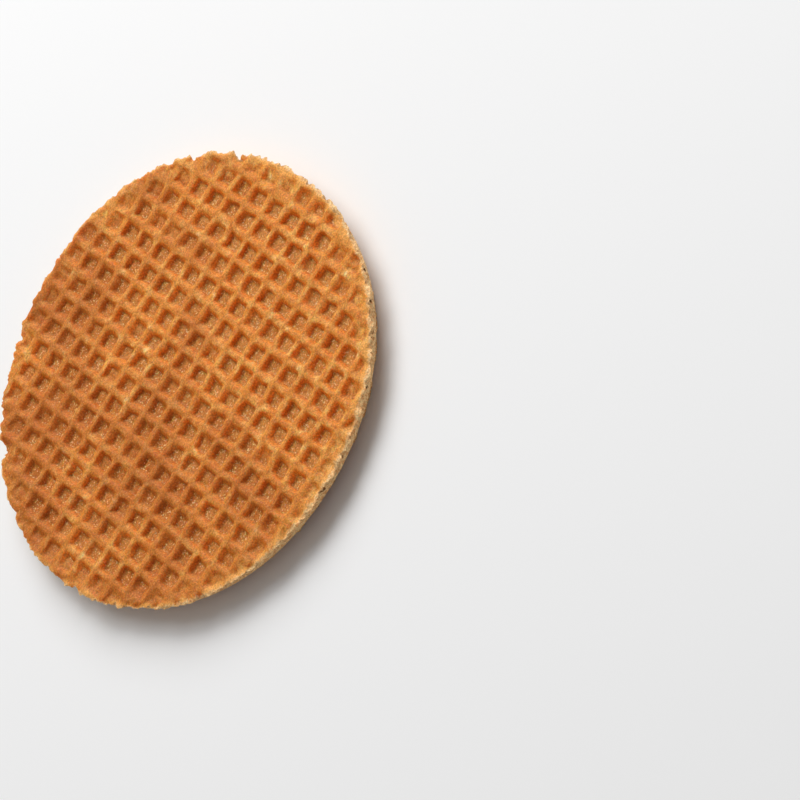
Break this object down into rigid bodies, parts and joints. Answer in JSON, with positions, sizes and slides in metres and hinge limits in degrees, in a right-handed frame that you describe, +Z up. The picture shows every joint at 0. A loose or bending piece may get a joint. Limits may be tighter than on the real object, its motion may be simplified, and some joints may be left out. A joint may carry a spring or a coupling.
{
  "type": "stroopwafel",
  "caption": "Round, thin waffle biscuit with a square grid pressed into both faces and a layer of caramel syrup between its two halves.",
  "frame": {"origin": "middle of the underside of the box, where a crossing of the lower ribs rests", "axes": "+Z up through the thickness; +X and +Y along the two directions of the iron's grid"},
  "size_m": [0.0856, 0.0842, 0.0055],
  "materials": {
    "crust": "baked wheat crust, golden brown, dry to faintly buttery",
    "syrup": "set caramel syrup, dark amber, sticky gloss"
  },
  "bodies": {
    "root": {"wafer_top": "crust", "syrup": "syrup", "wafer_bottom": "crust"}
  },
  "joints": []
}
